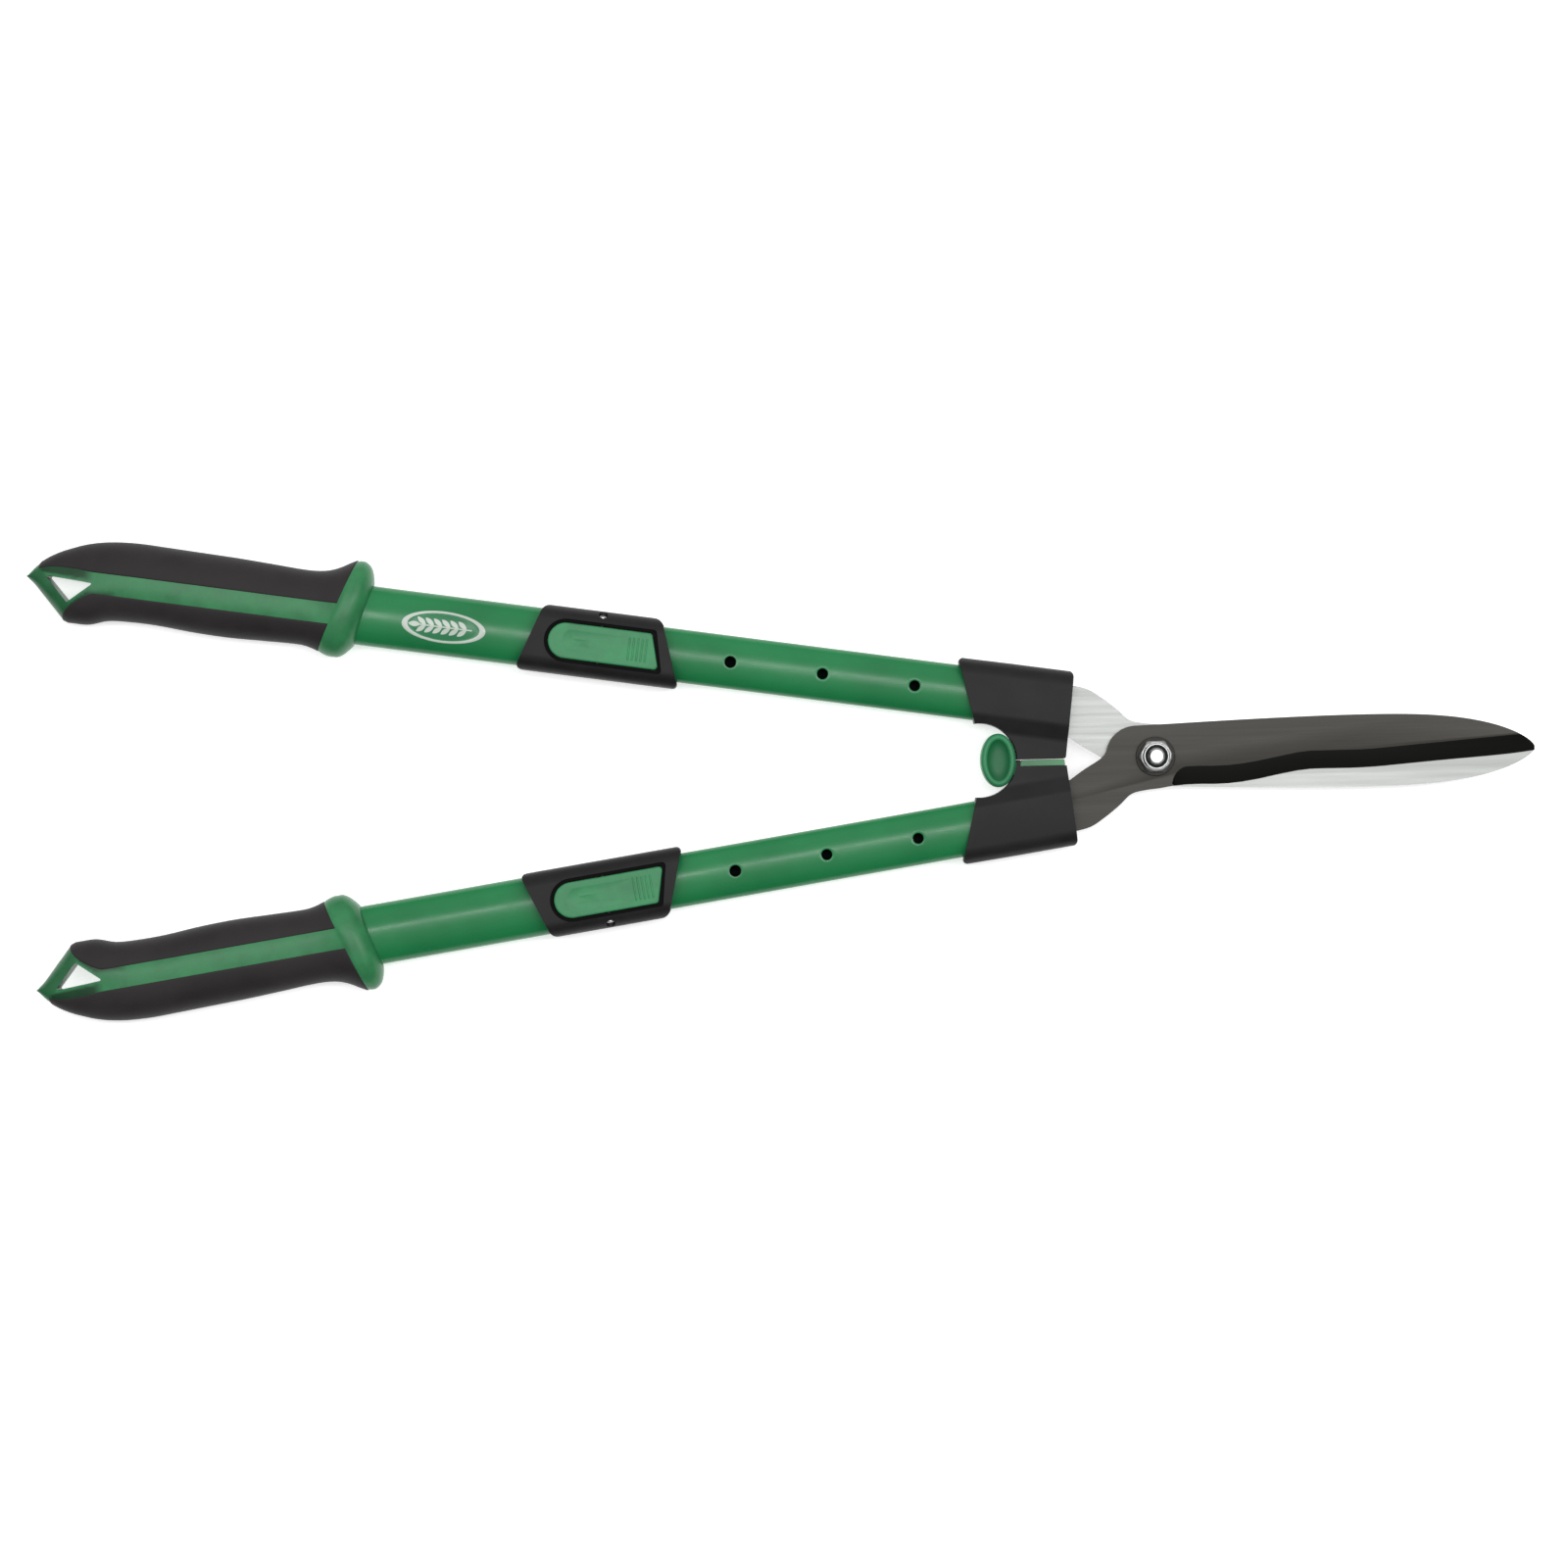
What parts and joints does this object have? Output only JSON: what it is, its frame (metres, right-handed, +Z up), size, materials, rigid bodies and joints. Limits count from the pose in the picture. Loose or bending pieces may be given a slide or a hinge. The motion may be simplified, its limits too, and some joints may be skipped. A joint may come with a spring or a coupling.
{
  "type": "telescopic hedge shears",
  "caption": "Telescopic hedge shears with waved blades, oval tube handles with push-button locks, soft grips with hanging eyes, and a shock bumper.",
  "frame": {"origin": "under the middle of the closed shears' box, on the surface that they lie on, with the handles drawn out", "axes": "+X runs to the blade tips, +Y to the upper handle, +Z up from the surface"},
  "size_m": [0.8432, 0.2684, 0.0377],
  "materials": {
    "coated_blade": "satin",
    "bright_blade": "satin",
    "bright_steel": "polished",
    "blacked_steel": "satin",
    "nylon": "satin",
    "green_paint": "gloss",
    "grip_plastic": "satin",
    "button_plastic": "satin",
    "soft_green": "matte",
    "soft_black": "matte",
    "black_plastic": "matte",
    "white_plastic": "matte",
    "label": "gloss"
  },
  "bodies": {
    "lower_half": {"front_blade": "coated_blade", "lower_socket": "black_plastic", "shock_bumper": "soft_green", "stop_pad": "soft_green", "lower_inner_tube": "green_paint", "lower_tang_rivets": "bright_steel", "lower_tube_bush": "white_plastic"},
    "upper_half": {"rear_blade": "bright_blade", "upper_socket": "black_plastic", "pivot_bolt": "bright_steel", "pivot_washer": "blacked_steel", "pivot_nut": "bright_steel", "nut_nylon_ring": "nylon", "upper_inner_tube": "green_paint", "upper_tang_rivets": "bright_steel", "upper_tube_bush": "white_plastic"},
    "lower_handle": {"lower_outer_tube": "green_paint", "lower_lock_collar": "black_plastic", "lower_collar_screw": "bright_steel", "lower_button_pin": "bright_steel", "lower_button_spring": "bright_steel", "lower_grip_core": "grip_plastic", "lower_palm_pad": "soft_black", "lower_finger_pad": "soft_black", "lower_grip_screw": "bright_steel"},
    "upper_handle": {"upper_outer_tube": "green_paint", "upper_lock_collar": "black_plastic", "upper_collar_screw": "bright_steel", "upper_button_pin": "bright_steel", "upper_button_spring": "bright_steel", "upper_grip_core": "grip_plastic", "upper_palm_pad": "soft_black", "upper_finger_pad": "soft_black", "upper_grip_screw": "bright_steel", "upper_label": "label"},
    "lower_button": {"lower_button": "button_plastic", "lower_lock_tooth": "bright_steel"},
    "upper_button": {"upper_button": "button_plastic", "upper_lock_tooth": "bright_steel"}
  },
  "joints": [
    {"name": "blade_pivot", "type": "hinge", "parent": "lower_half", "child": "upper_half", "pos_m": [0.20842, 0, 0.0185], "axis": [0, 0, -1], "range_deg": [0, 55]},
    {"name": "lower_telescope", "type": "slide", "parent": "lower_half", "child": "lower_handle", "axis": [0.9885, 0.1513, 0], "range_m": [0, 0.156]},
    {"name": "upper_telescope", "type": "slide", "parent": "upper_half", "child": "upper_handle", "axis": [0.9885, -0.1513, 0], "range_m": [0, 0.156]},
    {"name": "lower_button_rock", "type": "hinge", "parent": "lower_handle", "child": "lower_button", "pos_m": [-0.10114, -0.06957, 0.0335], "axis": [0.1513, -0.9885, 0], "range_deg": [-4.5, 0], "stiffness_Nm_per_rad": 0.15, "springref_deg": -25.78, "deforming": ["lower_button_spring"]},
    {"name": "upper_button_rock", "type": "hinge", "parent": "upper_handle", "child": "upper_button", "pos_m": [-0.10114, 0.06957, 0.0335], "axis": [-0.1513, -0.9885, 0], "range_deg": [-4.5, 0], "stiffness_Nm_per_rad": 0.15, "springref_deg": -25.78, "deforming": ["upper_button_spring"]}
  ]
}
